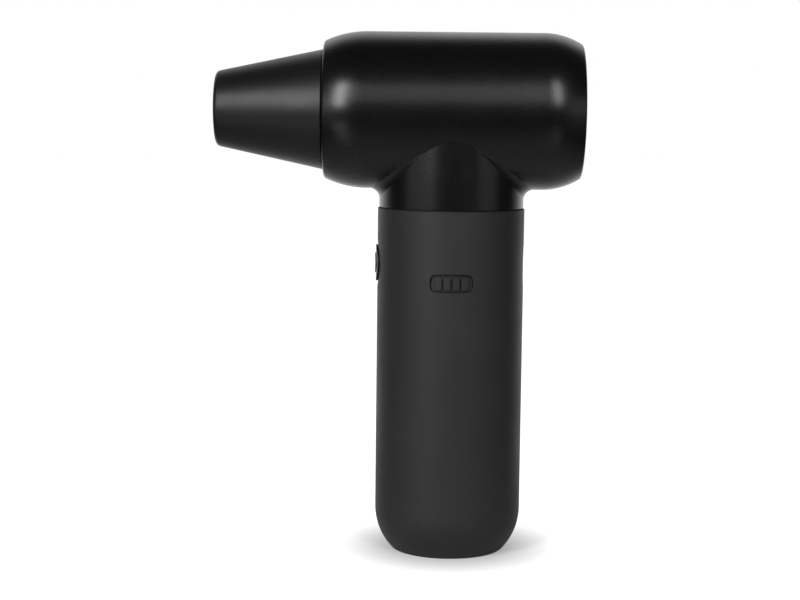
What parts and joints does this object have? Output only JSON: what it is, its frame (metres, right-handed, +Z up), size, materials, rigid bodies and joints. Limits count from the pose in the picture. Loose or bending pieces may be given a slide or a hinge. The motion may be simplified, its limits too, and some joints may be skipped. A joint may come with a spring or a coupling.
{
  "type": "handheld turbo air blower",
  "caption": "Handheld battery air blower for drying cars: a round barrel fan head with a pull-off conical nozzle across a round grip.",
  "frame": {"origin": "centre of the flat base of the grip, on the surface that it stands on", "axes": "+Z up along the grip, -X along the barrel towards the outlet, -Y the side with the battery gauge"},
  "size_m": [0.1189, 0.0508, 0.17],
  "materials": {
    "head_shell": "matt black paint over moulded plastic",
    "nozzle_plastic": "satin black moulded plastic",
    "grip_soft": "dark grey soft-touch plastic",
    "cover_plastic": "satin black",
    "grille_plastic": "satin black",
    "gloss_trim": "gloss black",
    "button_plastic": "satin dark grey",
    "gauge_resin": "satin dark grey, lit from behind",
    "frame_plastic": "moulded",
    "fan_alloy": "die-cast",
    "impeller_alloy": "anodised",
    "seal_rubber": "matt",
    "core_steel": "laminated",
    "bearing_steel": "ground",
    "screw_steel": "blackened",
    "socket_steel": "drawn",
    "copper_wire": "enamelled copper",
    "nickel_strip": "nickel plated",
    "cell_wrap": "shrink wrap",
    "board_laminate": "solder mask",
    "chip_resin": "moulded",
    "connector_nylon": "moulded",
    "lead_jacket": "silicone jacket"
  },
  "bodies": {
    "root": {"head_housing": "head_shell", "front_collar": "frame_plastic", "rear_cover": "cover_plastic", "intake_grille": "grille_plastic", "outlet_duct": "frame_plastic", "fan_shroud": "fan_alloy", "mount_ring_front": "seal_rubber", "mount_ring_rear": "seal_rubber", "tail_cone": "frame_plastic", "motor_end_cap": "fan_alloy", "stator_core": "core_steel", "stator_windings": "copper_wire", "bearing_outer_races": "bearing_steel", "bearing_balls": "bearing_steel", "phase_leads": "lead_jacket", "motor_connector": "connector_nylon", "grip_sleeve": "grip_soft", "grip_seal": "seal_rubber", "grip_chassis": "frame_plastic", "cell_holder_lower": "frame_plastic", "cell_holder_upper": "frame_plastic", "battery_cells": "cell_wrap", "cell_links": "nickel_strip", "battery_board": "board_laminate", "battery_leads": "lead_jacket", "main_board": "board_laminate", "board_parts": "chip_resin", "board_capacitor": "cell_wrap", "board_screws": "screw_steel", "pack_screws": "screw_steel", "usb_receptacle": "socket_steel", "port_bezel": "gloss_trim", "tact_switch": "connector_nylon", "button_bezel": "gloss_trim", "gauge_lens": "gauge_resin", "gauge_board": "board_laminate", "gauge_leds": "connector_nylon", "gauge_lead": "lead_jacket"},
    "rotor": {"impeller": "impeller_alloy", "impeller_nut": "impeller_alloy", "rotor_shaft": "bearing_steel", "rotor_magnet": "core_steel", "bearing_inner_races": "bearing_steel"},
    "nozzle": {"nozzle": "nozzle_plastic", "nozzle_o_ring": "seal_rubber"},
    "button": {"button_cap": "button_plastic", "switch_plunger": "connector_nylon"}
  },
  "joints": [
    {"name": "rotor_spin", "type": "hinge", "parent": "root", "child": "rotor", "pos_m": [0.0195, 0, 0.1446], "axis": [-1, 0, 0], "continuous": true},
    {"name": "nozzle_pull", "type": "slide", "parent": "root", "child": "nozzle", "axis": [-1, 0, 0], "range_m": [0, 0.03]},
    {"name": "button_press", "type": "slide", "parent": "root", "child": "button", "axis": [1, 0, 0], "range_m": [0, 0.0006], "stiffness_N_per_m": 800}
  ]
}
